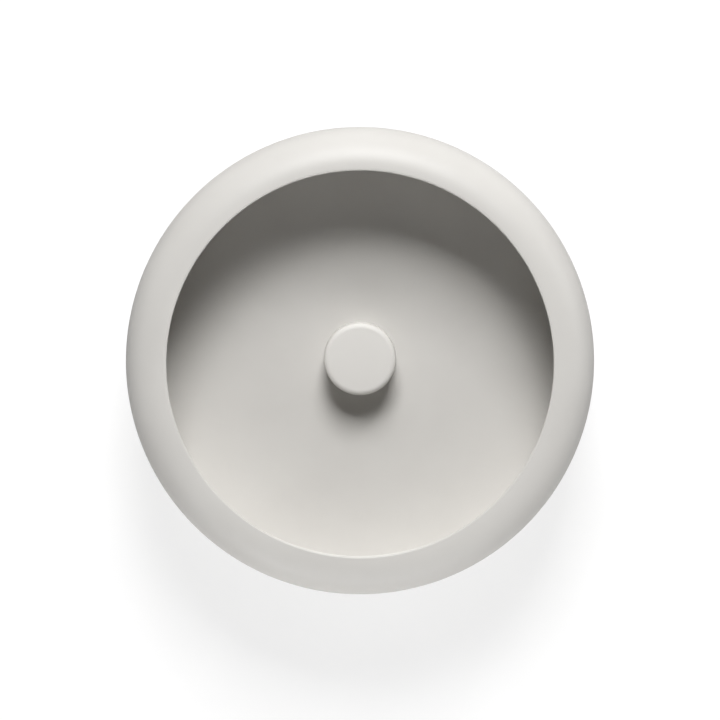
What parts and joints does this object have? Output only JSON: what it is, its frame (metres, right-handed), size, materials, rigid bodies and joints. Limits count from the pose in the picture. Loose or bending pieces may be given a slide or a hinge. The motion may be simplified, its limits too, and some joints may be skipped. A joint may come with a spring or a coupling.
{
  "type": "cordless bowl lamp",
  "caption": "Cordless rechargeable bowl lamp with a rolled rim, a deep dish and a central push button, held to a wall by a magnetic disc or stood on its foot ring.",
  "frame": {"origin": "on the lamp's axis, in the plane the foot ring stands on", "axes": "+Z along the lamp's axis, out of the open dish; -Y towards the charging port; +X completes the frame"},
  "size_m": [0.25, 0.25, 0.08],
  "materials": {
    "shell": "satin warm light grey, fine moulded texture",
    "shell_knob": "satin warm light grey, fine moulded texture",
    "diffuser": "opal white translucent polycarbonate",
    "flap": "soft warm grey silicone",
    "foot": "soft grey silicone",
    "seal": "black silicone",
    "disc": "fine-grained moulded plastic",
    "plate": "blank satin foil plate",
    "steel": "zinc plated",
    "zinc_steel": "passivated sheet steel",
    "nickel": "bright nickel plate",
    "pom": "natural white acetal",
    "black_plastic": "moulded black",
    "board": "white solder mask",
    "led": "yellow phosphor",
    "cell_wrap": "plain heat-shrunk sleeve",
    "wire": "silicone insulated"
  },
  "bodies": {
    "lamp": {"rim_ring": "shell", "dish_shell": "shell", "rear_shell": "shell", "shell_seal": "seal", "shell_screws": "steel", "foot_ring": "foot", "rating_plate": "plate", "return_spring": "steel", "light_guide": "diffuser", "guide_seal": "seal", "led_board": "board", "leds": "led", "core_bushing": "pom", "core_screws": "steel", "main_board": "board", "tact_switch": "black_plastic", "board_parts": "black_plastic", "board_screws": "steel", "port_board": "board", "port_screws": "steel", "usb_socket": "steel", "charge_pipe": "diffuser", "battery_cells": "cell_wrap", "battery_cradles": "black_plastic", "cradle_screws": "steel", "cell_tabs": "nickel", "battery_leads": "wire", "led_leads": "wire", "port_leads": "wire", "keeper_plate": "zinc_steel"},
    "button": {"knob_cap": "shell_knob", "knob_stem": "pom", "stem_clip": "steel"},
    "port_flap": {"port_flap": "flap"},
    "wall_disc": {"wall_disc": "disc", "disc_magnets": "nickel", "disc_pad": "seal"}
  },
  "joints": [
    {"name": "button_press", "type": "slide", "parent": "lamp", "child": "button", "axis": [0, 0, -1], "range_m": [0, 0.001], "stiffness_N_per_m": 1500, "springref_m": -0.001, "deforming": ["return_spring"]},
    {"name": "port_flap_hinge", "type": "hinge", "parent": "lamp", "child": "port_flap", "pos_m": [0, -0.11465, 0.0181], "axis": [1, 0, 0], "range_deg": [0, 110]},
    {"name": "wall_disc_lift", "type": "slide", "parent": "lamp", "child": "wall_disc", "axis": [0, 0, -1], "range_m": [0, 0.045]}
  ]
}
